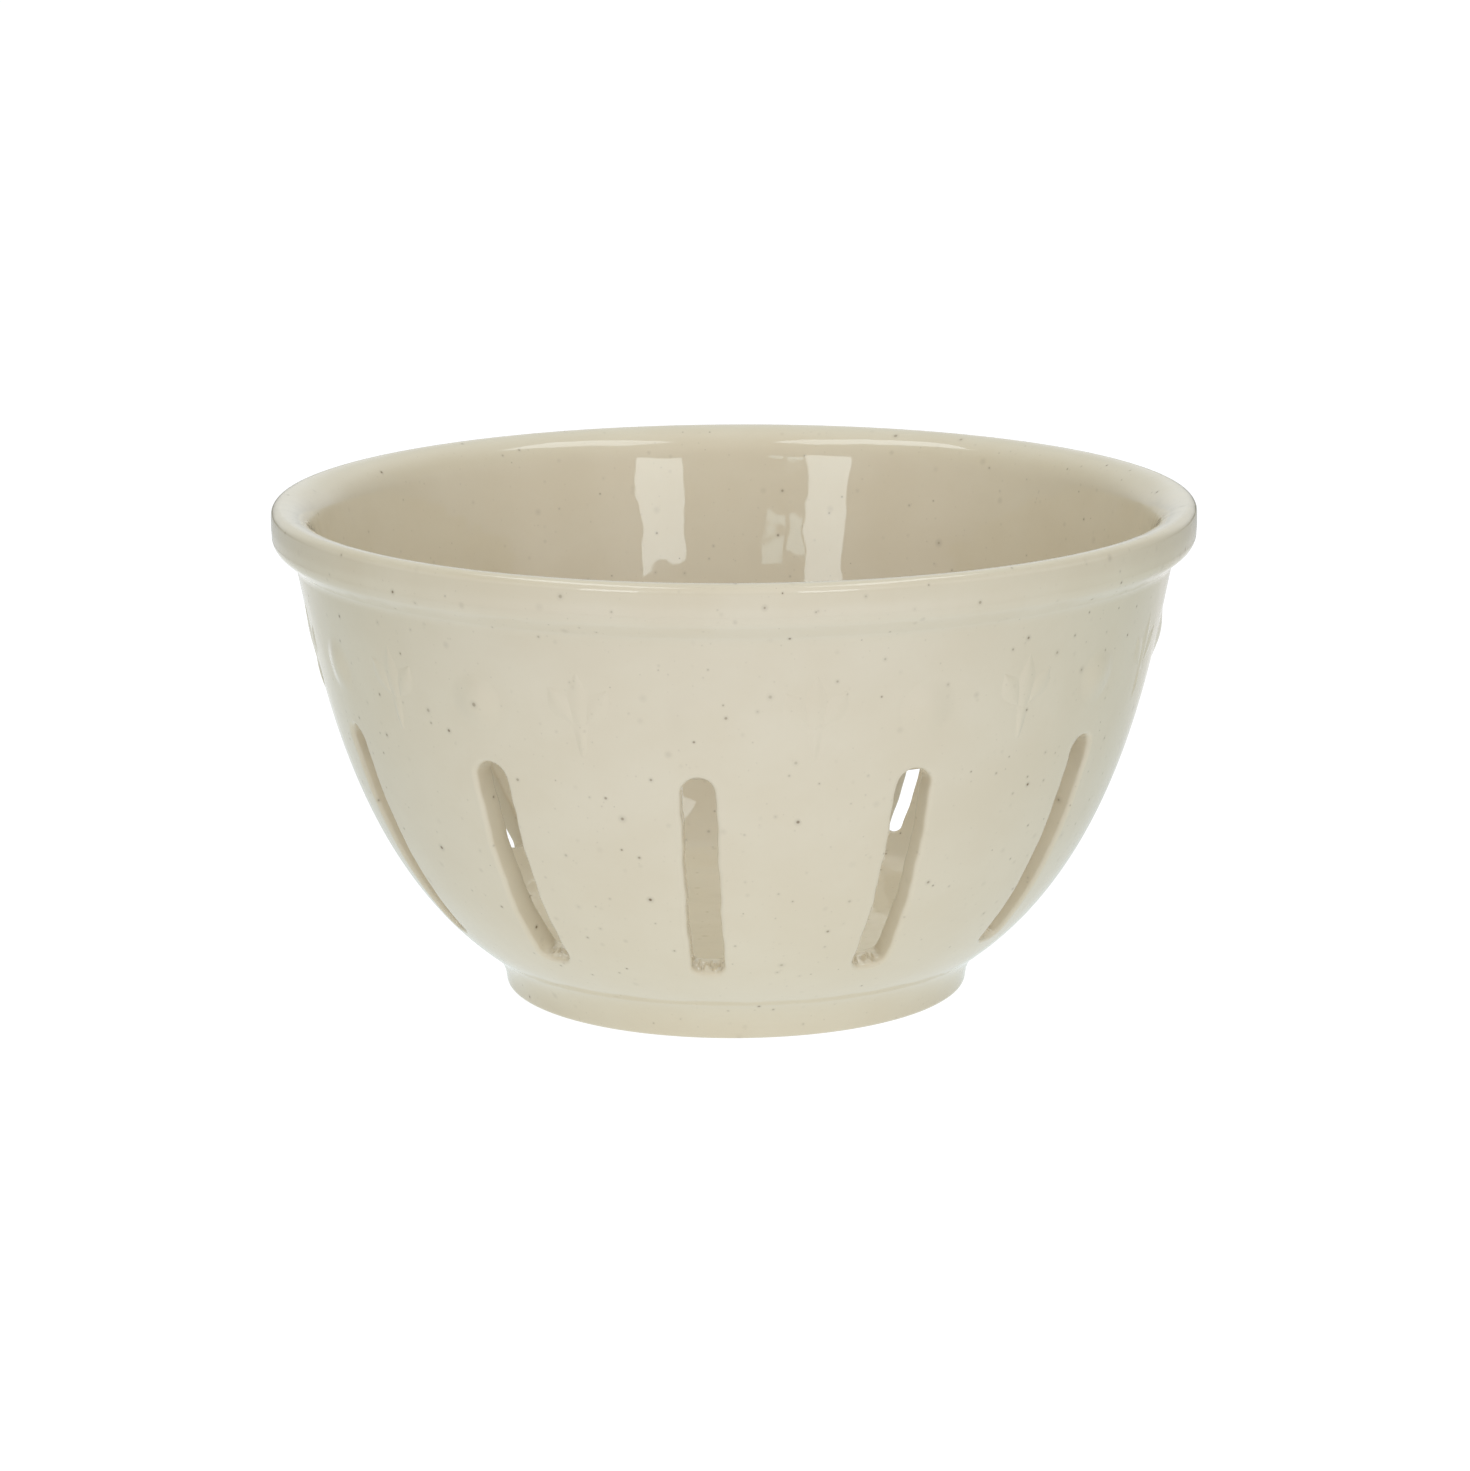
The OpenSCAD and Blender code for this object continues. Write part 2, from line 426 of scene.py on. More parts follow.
class Wire:
    """A shader socket that carries a number, whose arithmetic adds Math nodes."""

    def __init__(self, tree: "Recipe", socket: bpy.types.NodeSocket) -> None:
        """Wraps an output socket of a recipe."""
        self.tree = tree
        self.socket = socket

    def _math(self, operation: str, first: "Wire | float", second: "Wire | float") -> "Wire":
        """Adds one Math node and returns its value."""
        return self.tree.node("ShaderNodeMath", {"operation": operation}, {0: first, 1: second})["Value"]

    def __add__(self, other: "Wire | float") -> "Wire":
        """Adds."""
        return self._math("ADD", self, other)

    def __sub__(self, other: "Wire | float") -> "Wire":
        """Subtracts."""
        return self._math("SUBTRACT", self, other)

    def __rsub__(self, other: float) -> "Wire":
        """Subtracts this from a number."""
        return self._math("SUBTRACT", other, self)

    def __mul__(self, other: "Wire | float") -> "Wire":
        """Multiplies."""
        return self._math("MULTIPLY", self, other)

    def __pow__(self, power: float) -> "Wire":
        """Raises to a power."""
        return self._math("POWER", self, power)

    def __rpow__(self, base: float) -> "Wire":
        """Raises a number to this power."""
        return self._math("POWER", base, self)

    def highest(self, other: "Wire | float") -> "Wire":
        """Returns the higher of the two."""
        return self._math("MAXIMUM", self, other)

    def step(self, start: "Wire | float", end: "Wire | float") -> "Wire":
        """Rises smoothly from 0 to 1 as this value goes from start to end."""
        sockets = {"Value": self, "From Min": start, "From Max": end}
        return self.tree.node("ShaderNodeMapRange", {"interpolation_type": "SMOOTHSTEP"}, sockets)["Result"]

    __radd__ = __add__
    __rmul__ = __mul__


class Node:
    """A shader node whose outputs are read as wires."""

    def __init__(self, tree: "Recipe", node: bpy.types.Node) -> None:
        """Wraps a node of a recipe."""
        self.tree = tree
        self.node = node

    def __getitem__(self, output: str) -> Wire:
        """Returns the shown output of that name."""
        return Wire(self.tree, next(o for o in self.node.outputs if o.name == output and o.enabled))


@dataclass(frozen=True)
class Noise:
    """A noise over a surface, of about 0.5 on average.

    It has so many cells to a metre along x, y and z, and layers of finer noise over the first,
    each as strong as the weight times the one before it.
    """

    cells: Triple
    layers: float
    weight: float = 0.5


class Recipe:
    """The node tree of one new material, or of the surroundings."""

    def __init__(self, name: str, owner: bpy.types.World | None = None) -> None:
        """Empties the tree of a new material, or of a given owner.

        Args:
            name: The material's name.
            owner: What has the tree, if not a new material.
        """
        self.owner = owner or bpy.data.materials.new(name)
        self.owner.use_nodes = True
        self.tree = self.owner.node_tree
        self.tree.nodes.clear()

    def node(self, kind: str, settings: dict[str, object], sockets: dict[str | int, object]) -> Node:
        """Adds a node.

        Args:
            kind: Blender's name of the node's type.
            settings: The node's own settings, set first.
            sockets: A value, or a wire to link, for each input by its name or number.

        Returns:
            The node.
        """
        made = self.tree.nodes.new(kind)
        for key, value in settings.items():
            setattr(made, key, value)
        for key, value in sockets.items():
            named = (socket for socket in made.inputs if socket.name == key and socket.enabled)
            socket = made.inputs[key] if isinstance(key, int) else next(named)
            if isinstance(value, Wire):
                self.tree.links.new(value.socket, socket)
            else:
                socket.default_value = value
        return Node(self, made)

    def mixed(self, share: Wire | float, first: Wire | Color, second: Wire | Color) -> Wire:
        """Returns a colour that goes from the first to the second as the share goes from 0 to 1."""
        one, other = (value if isinstance(value, Wire) else (*value, 1.0) for value in (first, second))
        return self.node("ShaderNodeMix", {"data_type": "RGBA"}, {0: share, 6: one, 7: other})["Result"]

    def vector(self, operation: str, first: Wire, second: Wire | Triple | Vector) -> Node:
        """Adds one Vector Math node on two vectors."""
        return self.node("ShaderNodeVectorMath", {"operation": operation}, {0: first, 1: second})

    def scaled(self, colour: Color, amount: Wire) -> Wire:
        """Returns a colour times an amount."""
        sockets = {0: colour, "Scale": amount}
        return self.node("ShaderNodeVectorMath", {"operation": "SCALE"}, sockets)["Vector"]

    def total(self, vectors: Sequence[Wire]) -> Wire:
        """Returns the sum of some vectors."""
        return functools.reduce(lambda first, second: self.vector("ADD", first, second)["Vector"], vectors)

    def spot(self) -> Wire:
        """Returns Object coordinates, in metres."""
        return self.node("ShaderNodeTexCoord", {}, {})["Object"]

    def noise(self, noise: Noise) -> Wire:
        """Adds a noise, which the object carries with it.

        Args:
            noise: Its cells and layers.

        Returns:
            Its value.
        """
        cells = self.vector("MULTIPLY", self.spot(), noise.cells)["Vector"]
        sockets = {"Vector": cells, "Scale": 1.0, "Detail": noise.layers, "Roughness": noise.weight}
        return self.node("ShaderNodeTexNoise", {}, sockets)["Fac"]

    def white_to_camera(self, colour: Wire) -> Wire:
        """Returns a colour that lights the bowl, while the camera sees plain white in its place."""
        return self.mixed(self.node("ShaderNodeLightPath", {}, {})["Is Camera Ray"], colour, WHITE)


@dataclass(frozen=True)
class Specks:
    """One size of the iron specks that burn through the glaze.

    Its cell and radius are in millimetres, and the halo is a number of radii.
    """

    cell: float
    radius: float
    halo: float
    depth: float
    seed: float
    rarity: float = 1.5
    core_share: float = 0.35
    halo_depth: float = 0.3
    least_depth: float = 0.3

    def mask(self, recipe: Recipe) -> Wire:
        """Finds how much of the iron shows at a point.

        A speck is a ball about the point of a Voronoi cell. Its radius goes by a random number
        of its cell, so that many cells have none, and it fades out over its halo.

        Args:
            recipe: The recipe that gets the nodes.

        Returns:
            The share of iron, 0 to depth.
        """
        spread = recipe.vector("MULTIPLY", recipe.spot(), (1 / (self.cell * MM),) * 3)["Vector"]
        shifted = recipe.vector("ADD", spread, (self.seed,) * 3)["Vector"]
        cells = recipe.node("ShaderNodeTexVoronoi", {"feature": "F1"}, {"Vector": shifted, "Scale": 1.0})
        chance = recipe.node("ShaderNodeSeparateColor", {}, {"Color": cells["Color"]})
        size = (chance["Red"] ** self.rarity) * (self.radius / self.cell)
        body = 1.0 - cells["Distance"].step(size * self.core_share, size)
        halo = (1.0 - cells["Distance"].step(0.0, size * self.halo)) * self.halo_depth
        depth = chance["Green"] * (1.0 - self.least_depth) + self.least_depth
        return body.highest(halo) * depth * self.depth


class Coat(Enum):
    """How the glaze lies on a piece."""

    FULL = "full"
    OVER_RELIEF = "thin over relief"
    WIPED_FOOT = "wiped off the resting face"


@dataclass(frozen=True)
class CreamGlaze:
    """Glossy cream stoneware glaze with brown iron specks and a slightly uneven face.

    Its face rises by the ripple, in millimetres, times waves with a shorter wobble and a fine
    grain on them. Its border on the resting face is ragged and fades out over the wipe.
    """

    coat: Coat = Coat.FULL
    cream: Color = (0.668, 0.575, 0.420)
    thin: Color = (0.648, 0.552, 0.392)
    pale: Color = (0.686, 0.598, 0.446)
    iron: Color = (0.130, 0.075, 0.030)
    clay: Color = (0.520, 0.410, 0.280)
    clouds: Noise = Noise((60.0, 60.0, 75.0), 3.0, 0.55)
    cloud_edges: tuple[float, float] = (0.3, 0.7)
    mottle: Noise = Noise((900.0,) * 3, 2.0)
    mottle_edges: tuple[float, float] = (0.25, 0.8)
    mottle_share: float = 0.10
    roughness: float = 0.03
    dulling: Noise = Noise((250.0,) * 3, 2.0)
    dulling_span: float = 0.03
    ripple: float = 0.13
    waves: Noise = Noise((130.0, 130.0, 80.0), 1.0, 0.4)
    wobble: Noise = Noise((240.0,) * 3, 1.0, 0.4)
    wobble_share: float = 0.19
    grain: Noise = Noise((520.0,) * 3, 1.0)
    grain_share: float = 0.006
    ragged: Noise = Noise((160.0,) * 3, 3.0)
    ragged_z: float = 0.12
    wipe_z: float = 0.08
    sand: Noise = Noise((1800.0,) * 3, 3.0)
    sand_light: float = 1.3
    sand_share: float = 0.6
    bare_roughness: float = 0.7
    specks: tuple[Specks, ...] = (
        Specks(cell=4.1, radius=0.56, halo=2.2, depth=0.90, seed=11.0),
        Specks(cell=2.5, radius=0.40, halo=2.0, depth=0.62, seed=47.0),
        Specks(cell=1.4, radius=0.26, halo=1.8, depth=0.15, seed=83.0),
    )

    def material(self) -> bpy.types.Material:
        """Mixes the glaze.

        Returns:
            The new material.
        """
        recipe = Recipe(f"cream_glaze_{self.coat.name.lower()}")
        colour = recipe.mixed(recipe.noise(self.clouds).step(*self.cloud_edges), self.cream, self.pale)
        mottle = recipe.noise(self.mottle).step(*self.mottle_edges) * self.mottle_share
        colour = recipe.mixed(mottle, colour, self.thin)
        for specks in self.specks:
            colour = recipe.mixed(specks.mask(recipe), colour, self.iron)
        rough = recipe.noise(self.dulling) * self.dulling_span + (self.roughness - self.dulling_span / 2)
        height = recipe.noise(self.waves) + recipe.noise(self.wobble) * self.wobble_share
        height = height + recipe.noise(self.grain) * self.grain_share
        if self.coat is Coat.WIPED_FOOT:
            bare, sand = self.bare(recipe), recipe.noise(self.sand)
            light = tuple(min(1.0, part * self.sand_light) for part in self.clay)
            colour = recipe.mixed(bare, colour, recipe.mixed(sand, self.clay, light))
            rough = rough + bare * self.bare_roughness
            height = height + bare * sand * self.sand_share
        relief = {"Strength": 1.0, "Distance": self.ripple * MM, "Height": height}
        normal = recipe.node("ShaderNodeBump", {}, relief)["Normal"]
        sockets = {"Base Color": colour, "Roughness": rough, "IOR": 1.5, "Normal": normal}
        shader = recipe.node("ShaderNodeBsdfPrincipled", {}, sockets)
        recipe.node("ShaderNodeOutputMaterial", {}, {"Surface": shader["BSDF"]})
        return recipe.owner

    def bare(self, recipe: Recipe) -> Wire:
        """Finds where the glaze is wiped off.

        Args:
            recipe: The recipe that gets the nodes.

        Returns:
            The share of bare clay, from 1 on the resting face to 0 over the ragged border.
        """
        level = recipe.node("ShaderNodeSeparateXYZ", {}, {"Vector": recipe.spot()})["Z"]
        border = recipe.noise(self.ragged) * (self.ragged_z * MM)
        return 1.0 - level.step(border, border + self.wipe_z * MM)


def placed(piece: bpy.types.Object, glaze: bpy.types.Material, node: str) -> bpy.types.Object:
    """Glazes a piece and puts it in the place of its solid.

    Args:
        piece: The piece.
        glaze: Its material.
        node: The solid that it stands for.

    Returns:
        The piece.
    """
    piece.data.materials.append(glaze)
    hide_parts(node)
    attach(piece, "root")
    return piece


# Members of the bowl


@dataclass
class FootRing:
    """The ring of clay under the bowl, glazed down its sides and wiped where it rests."""

    curve: WallCurve
    finish: CreamGlaze
    inner_r: float = 34.8
    edge: float = 0.8
    side_stride: float = 0.8
    inside_stride: float = 0.9

    def profile(self) -> np.ndarray:
        """Draws the ring's section: up its outer side, over the joint and down its inner side.

        Returns:
            Closed profile (n, 2).
        """
        hollow, top = self.curve.foot_hollow(), self.curve.low[1]
        rising = hollow.at(to_joint(0.0, hollow.share_at(top), JOINT_STEPS))
        rest = ((self.inner_r + self.curve.foot_r) / 2, 0.0, 0.0)
        up = [rest, (self.curve.foot_r, 0.0, self.edge), (*rising[0], 0.0)]
        down = [(self.inner_r, top, 0.0), (self.inner_r, 0.0, self.edge), rest]
        side = rounded_path(up, stride=self.side_stride)
        return np.vstack([side[:-1], rising, rounded_path(down, stride=self.inside_stride)])

    def build(self) -> bpy.types.Object:
        """Builds the ring.

        Returns:
            The piece.
        """
        section = self.profile()
        shell = Shell()
        shell.sheet(revolved(np.vstack([section, section[:1]])))
        return placed(shell.piece("foot_ring_glazed"), self.finish.material(), "foot_ring")


@dataclass
class Pan:
    """The thrown pan: the level floor and the first turn of the wall."""

    curve: WallCurve
    finish: CreamGlaze
    floor_z: float = FOOT_H + WALL_T
    level_share: float = 0.8
    inner_steps: int = 32
    outer_rows: int = 6
    under_rows: int = 12

    def inner(self) -> np.ndarray:
        """Draws the pan's inner face from the middle of the floor to the wall.

        It is a cubic Bezier curve, level in the middle and in line with the wall at its end.

        Returns:
            Profile (n, 2).
        """
        end = self.curve.skin(self.curve.pan_share, Face.INNER)
        run = bezier_run(self.curve.steering(), self.curve.pan_share)
        bend = np.array([end[0] - (end[1] - self.floor_z) * run[0] / run[1], self.floor_z])
        steer = np.array([(0.0, self.floor_z), (bend[0] * self.level_share, self.floor_z), bend, end])
        return bezier(steer, np.linspace(0, 1, self.inner_steps + 1))

    def build(self) -> bpy.types.Object:
        """Builds the pan: its underside, the hollow over the ring, the wall's first turn and the floor.

        Returns:
            The piece.
        """
        hollow, low = self.curve.foot_hollow(), self.curve.low[1]
        start = hollow.at(1 - to_joint(0.0, 1 - hollow.share_at(low), JOINT_STEPS)[::-1])
        shares = np.linspace(self.curve.foot_share, self.curve.pan_share, self.outer_rows)
        under = np.linspace((0.0, low), (start[0, 0], low), self.under_rows)
        inner = with_lip(self.inner())[::-1]
        shell = Shell()
        shell.sheet(revolved(np.vstack([under, start[1:-1], with_lip(self.curve.skin(shares)), inner])))
        return placed(shell.piece("bowl_floor_glazed"), self.finish.material(), "bowl_floor")


@dataclass(frozen=True)
class HandCut:
    """How one slot strays from an upright and even one, in degrees and millimetres.

    It leans and lies to the right above 0, and its inner opening lies to the right of its outer
    one by the slant.
    """

    lean: float
    shift: float = 0.0
    widen: float = 0.0
    slant: float = 0.0


@dataclass
class SlottedWall:
    """The wall with its twelve drain slots, cut by hand and softened by the glaze.

    The band over the slots, from its low height up, has no cuts. The sides' waves are in radians
    to a millimetre of height, and the lumps' waves in radians to a millimetre across the slot, to
    a slot and to the wall's depth.
    """

    curve: WallCurve
    finish: CreamGlaze
    band_low_z: float = 56.0
    half_top: float = 2.8
    half_foot: float = 2.75
    low_z: float = 14.5
    top_z: float = 52.4
    corner: float = 1.9
    edge: float = 0.85
    inner_edge: float = 0.7
    foot_rise: float = 2.0
    foot_fade: float = 6.0
    arc_steps: int = 32
    side_steps: int = 44
    patch_rows: int = 14
    edge_rows: int = 6
    tunnel_rows: int = 6
    band_rows: int = 16
    nudge: float = 0.001
    patch_power: float = 1.5
    turn_weight: float = 3.0
    waver: float = 0.09
    side_waves: tuple[float, float] = (0.55, 1.4)
    phase_step: float = 1.7
    lump: float = 0.38
    lump_fade: float = 3.0
    lump_waves: tuple[Triple, Triple] = ((4.3, 2.1, 2.5), (7.9, -1.0, -5.0))
    small_wave: float = 0.6
    cuts: tuple[HandCut, ...] = (
        HandCut(0.1, -0.05),
        HandCut(-0.4, -0.6, 0.25, 0.2),
        HandCut(0.7, 0.0, 0.1),
        HandCut(-0.8, 0.2, 0.0, -0.3),
        HandCut(0.3, -0.3, 0.1, 0.2),
        HandCut(3.0, 0.3, -0.3, 0.0),
        HandCut(-0.6, 0.3, 0.0, 0.3),
        HandCut(0.5, 0.0, 0.1, -0.2),
        HandCut(-0.9, -1.7, 0.35, 0.0),
        HandCut(0.8, 0.2, 0.0, 0.3),
        HandCut(-0.3, 0.0, 0.1),
        HandCut(0.6, 0.05, 0.3, 0.25),
    )

    def outline(self, lean: float, phase: float) -> tuple[np.ndarray, np.ndarray]:
        """Draws a slot's closed outline: a round top, upright sides and round lower corners.

        Its points run up the left side, over the top, down the right side and along the foot. A
        quarter of the top's arc goes with each side, and half of each corner. Points lie closer
        where the outline turns. Two sine waves along the height make the sides waver.

        Args:
            lean: How far the slot leans to the right, in degrees.
            phase: Where the waves start, in radians.

        Returns:
            Distances across and heights, each (n,), whose last point is its first.
        """
        shoulder = self.top_z - self.half_top
        arc = np.radians(np.linspace(180, 0, self.arc_steps + 1))
        top = np.stack([self.half_top * np.cos(arc), shoulder + self.half_top * np.sin(arc)], axis=1)
        sides = [(self.half_top, shoulder, 0.0), (self.half_foot, self.low_z, self.corner)]
        others = [(-across, height, radius) for across, height, radius in reversed(sides)]
        foot = rounded_path([*sides, *others], turn=6.0, stride=0.4)
        loop = np.vstack([top, foot[1:-1]])
        run = np.roll(loop, -1, axis=0) - loop
        bearing = np.arctan2(run[:, 1], run[:, 0])
        turn = np.abs((np.roll(bearing, -1) - bearing + math.pi) % math.tau - math.pi)
        measure = np.r_[0, np.cumsum(np.linalg.norm(run, axis=1) + self.turn_weight * turn)]
        across, height = np.vstack([loop, loop[:1]]).T
        upper = [np.abs(across + side * self.half_top * math.sqrt(0.5)) for side in (1, -1)]
        upper = [np.where(height < shoulder, np.inf, distance) for distance in upper]
        lower = [np.hypot(across - side * self.half_foot, height - self.low_z) for side in (1, -1)]
        a, b, c, d = (measure[np.argmin(distance)] for distance in (*upper, *lower))
        total, side, end = measure[-1], self.side_steps, COLUMNS_PER_SLOT
        runs = ((d - total, a, side), (a, b, end), (b, c, side), (c, d, end))
        stops = np.concatenate([np.linspace(*run, endpoint=False) for run in runs]) % total
        across, height = np.interp(stops, measure, across), np.interp(stops, measure, height)
        long, short = self.side_waves
        waves = np.sin(long * height + phase + across)
        waves = waves + self.small_wave * np.sin(short * height + 2 * phase - across)
        leaning = math.tan(math.radians(lean)) * (height - (self.low_z + self.top_z) / 2)
        across = across + leaning + self.waver * waves
        return np.r_[across, across[0]], np.r_[height, height[0]]

    @staticmethod
    def away(ring: np.ndarray, normal: np.ndarray) -> np.ndarray:
        """Finds the directions in a skin that point square away from a closed ring.

        Each is the cross product of the skin's normal and the ring's run, turned to point out.

        Args:
            ring: Points (n, 3), whose last is the first.
            normal: The skin's normals (n, 3).

        Returns:
            Directions (n, 3).
        """
        run = np.roll(ring[:-1], -1, axis=0) - np.roll(ring[:-1], 1, axis=0)
        out = unit(np.cross(normal[:-1], run))
        out = out * np.sign(np.mean(np.sum(out * (ring[:-1] - ring[:-1].mean(axis=0)), axis=1)))
        return np.vstack([out, out[:1]])

    def patch(self, ring: np.ndarray, middle: float, face: Face) -> np.ndarray:
        """Fills the skin between a ring round a slot and the borders of its share of the wall.

        Rows go from the ring's angles and shares to the border's in straight lines, closer
        together near the slot, and each point is then put on the skin.

        Args:
            ring: Points (n, 3) on the skin.
            middle: Angle of the slot round the axis.
            face: The face.

        Returns:
            Points (rows, n, 3).
        """
        low = self.curve.pan_share + self.lip_share()
        high = float(self.curve.share_at(self.band_low_z))
        sides, ends, half = self.side_steps, COLUMNS_PER_SLOT, PITCH / 2
        rise, sweep = np.linspace(low, high, sides + 1), np.linspace(-half, half, ends + 1)
        shares = np.r_[rise[:-1], np.full(ends, high), rise[:0:-1], np.full(ends + 1, low)]
        angles = np.r_[np.full(sides, -half), sweep[:-1], np.full(sides, half), sweep[::-1]]
        ring_angles = (np.arctan2(ring[:, 1], ring[:, 0]) - middle + math.pi) % math.tau - math.pi
        ring_shares = self.curve.share_at(ring[:, 2], face)
        row = np.linspace(0, 1, self.patch_rows + 1)[:, None] ** self.patch_power
        angles = middle + ring_angles + (angles - ring_angles) * row
        return self.curve.place(angles, ring_shares + (shares - ring_shares) * row, face)

    def lip_share(self) -> float:
        """Returns the share of the curve that one narrow row takes at the wall's foot."""
        low, near = self.curve.skin(np.array([self.curve.pan_share, self.curve.pan_share + self.nudge]))
        return LIP * self.nudge / float(np.linalg.norm(near - low))

    def cut(self, shell: Shell, place: int) -> None:
        """Adds one slot with the wall round it.

        The inner foot is raised over the outer one. An edge is a quarter turn between the skin's
        direction m and the cut's direction w: corner + q ((1 - sin f) m + (1 - cos f) w) for f
        from 0 to 90 degrees. Lumps of glaze lie on the foot, as two sine waves across it.

        Args:
            shell: Shell that gets the sheets.
            place: The slot's number, from the front one on.
        """
        middle, cut = FRONT + place * PITCH, self.cuts[place]
        across, height = self.outline(cut.lean, self.phase_step * place)
        across = across * (1 + cut.widen / self.half_top) + cut.shift
        raised = height + self.foot_rise * np.clip(1 - (height - self.low_z) / self.foot_fade, 0, 1) ** 2
        corners, outs = [], []
        for z, face, sign, slant in ((height, Face.OUTER, 1, 0.0), (raised, Face.INNER, -1, cut.slant)):
            share = self.curve.share_at(z, face)
            angle = middle + np.arcsin((across + slant) / self.curve.skin(share, face)[:, 0])
            corners.append(self.curve.place(angle, share, face))
            outs.append(self.away(corners[-1], sign * self.curve.normal(angle, share, face)))
        through = unit(corners[1] - corners[0])
        turns = np.radians(np.linspace(0, 90, self.edge_rows + 1))[:, None, None]
        edges = []
        for corner, out, face, radius, inward in zip(
            corners, outs, Face, (self.edge, self.inner_edge), (through, -through)
        ):
            patch = self.patch(corner + radius * out, middle, face)
            aside = patch[0] - corner
            edges.append(corner + (1 - np.sin(turns)) * aside + (1 - np.cos(turns)) * radius * inward)
            shell.sheet(patch)
            shell.sheet(edges[-1])
        rows = np.linspace(0, 1, self.tunnel_rows + 1)[:, None]
        foot = np.clip(1 - (height - self.low_z) / self.lump_fade, 0, 1)
        large, small = (np.sin(a * across + b * place + c * rows) for a, b, c in self.lump_waves)
        lumps = self.lump * foot * (large + self.small_wave * small) * np.sin(math.pi * rows)
        outer, inner = (edge[-1] for edge in edges)
        shell.sheet(outer + (inner - outer) * rows[..., None] + lumps[..., None] * outs[0])

    def build(self) -> bpy.types.Object:
        """Builds the wall: twelve slots, a band over them and the rows that join it to pan and rim.

        Returns:
            The piece.
        """
        shell = Shell()
        for place in range(SLOTS):
            self.cut(shell, place)
        low, bend = self.curve.pan_share, self.curve.hollow_share
        high = float(self.curve.share_at(self.band_low_z))
        plain = np.linspace(high, bend, self.band_rows, endpoint=False)
        band = np.r_[plain, to_joint(bend, 1.0, JOINT_STEPS)]
        for face in Face:
            shell.sheet(revolved(self.curve.skin(np.array([low, low + self.lip_share()]), face)))
            shell.sheet(revolved(self.curve.skin(band, face)))
        for share in (low, 1.0):
            shell.sheet(revolved(np.array([self.curve.skin(share, face) for face in Face])))
        return placed(shell.piece("bowl_wall_glazed"), self.finish.material(), "bowl_wall")


@dataclass
class RolledRim:
    """The thick rolled rim, with glaze drawn into the crease under it."""

    curve: WallCurve
    finish: CreamGlaze
    low_r: float = 79.7
    outer_r: float = 80.0
    top_r: float = 79.8
    belly_z: float = 82.2
    top_z: float = BOWL_H
    in_step: float = 1.33
    low_round: float = 3.0
    belly_round: float = 24.0
    top_round: float = 1.5
    in_round: float = 6.05

    def profile(self) -> np.ndarray:
        """Draws the rim's section from the middle of the hollow, round the bead, to its inner face.

        Both ends run on in line with the wall.

        Returns:
            Open profile (n, 2).
        """
        hollow = self.curve.hollow().at(to_joint(1.0, 0.5, JOINT_STEPS)[::-1])
        inner = self.curve.skin(1.0, Face.INNER)
        end_r, end_z = hollow[-1]
        slope = math.tan(math.radians(self.curve.hollow_end_angle))
        bead = rounded_path(
            [
                (end_r, end_z, 0.0),
                (self.low_r, end_z + (self.low_r - end_r) * slope, self.low_round),
                (self.outer_r, self.belly_z, self.belly_round),
                (self.top_r, self.top_z, self.top_round),
                (inner[0] + self.in_step, self.top_z, self.in_round),
                (*inner, 0.0),
            ],
            turn=5.0,
            stride=0.8,
        )
        return np.vstack([hollow[:-1], bead])

    def build(self) -> bpy.types.Object:
        """Builds the rim.

        Returns:
            The piece.
        """
        section = with_lip(self.profile())
        shell = Shell()
        shell.sheet(revolved(np.vstack([section, section[:1]])))
        return placed(shell.piece("rolled_rim_glazed"), self.finish.material(), "rolled_rim")


# Relief on the wall


@dataclass
class Relief:
    """Low relief that swells softly out of the wall, in a copy to each slot.

    The first copy stands so many pitches past the front slot.
    """

    curve: WallCurve
    finish: CreamGlaze
    node: str = ""
    first: float = 0.0
    band_z: float = 63.0
    lift: float = 0.0
    back: float = 0.0
    sink: float = 0.004
    crease: float = 60.0

    def swelling(
        self, shell: Shell, middle: float, across: np.ndarray, height: np.ndarray, swell: np.ndarray
    ) -> None:
        """Adds one closed swelling.

        It rises by its swell times the lift. Its border lies just under the wall's face, and its
        back bulges into the wall.

        Args:
            shell: Shell that gets the sheets.
            middle: Angle of the copy round the axis.
            across: Distance of each point from the copy's middle line.
            height: Height of each point.
            swell: Share of the lift at each point, 0 on the border.
        """
        for depth in ((self.lift + self.sink) * swell, -self.back * swell):
            shell.sheet(self.curve.laid(middle, across, height, depth - self.sink))

    def copy(self, shell: Shell, middle: float) -> None:
        """Adds the swellings of the copy at an angle round the axis."""
        raise NotImplementedError

    def build(self) -> list[bpy.types.Object]:
        """Builds the copies.

        Returns:
            The pieces.
        """
        glaze = self.finish.material()
        made = []
        for place in range(SLOTS):
            shell, node = Shell(), f"{self.node}_{place + 1:02d}"
            self.copy(shell, FRONT + (place + self.first) * PITCH)
            made.append(placed(shell.piece(f"{node}_glazed", self.crease), glaze, node))
        return made


